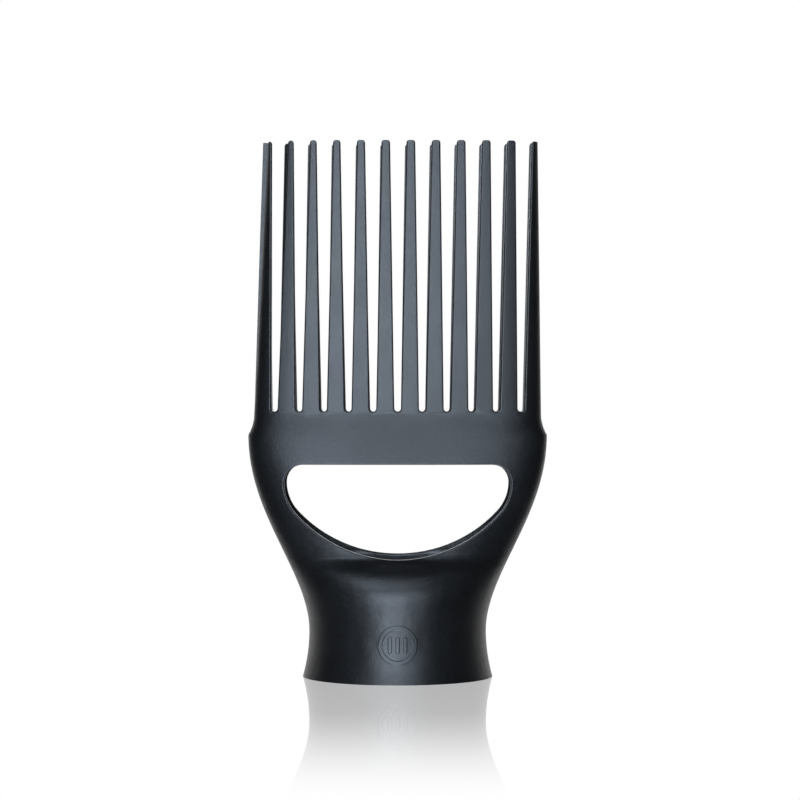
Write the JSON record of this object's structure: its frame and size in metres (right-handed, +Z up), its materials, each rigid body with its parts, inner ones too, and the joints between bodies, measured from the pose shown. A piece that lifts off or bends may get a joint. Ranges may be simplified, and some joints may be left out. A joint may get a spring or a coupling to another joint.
{
  "type": "hair dryer comb nozzle",
  "caption": "Slip-on comb attachment for a hair dryer: round collar, hourglass neck, flat head with a smile-shaped window, and two rows of long tapered teeth.",
  "frame": {"origin": "centre of the collar's base", "axes": "+Z up the nozzle towards the tips of the teeth, +X along the rows of teeth, front faces -Y"},
  "size_m": [0.088, 0.0558, 0.1571],
  "materials": {
    "shell_plastic": "satin",
    "sleeve_plastic": "matte",
    "seal_silicone": "matte"
  },
  "bodies": {
    "root": {"front_comb_shell": "shell_plastic", "rear_comb_shell": "shell_plastic", "barrel_sleeve": "sleeve_plastic", "barrel_seal": "seal_silicone"}
  },
  "joints": []
}
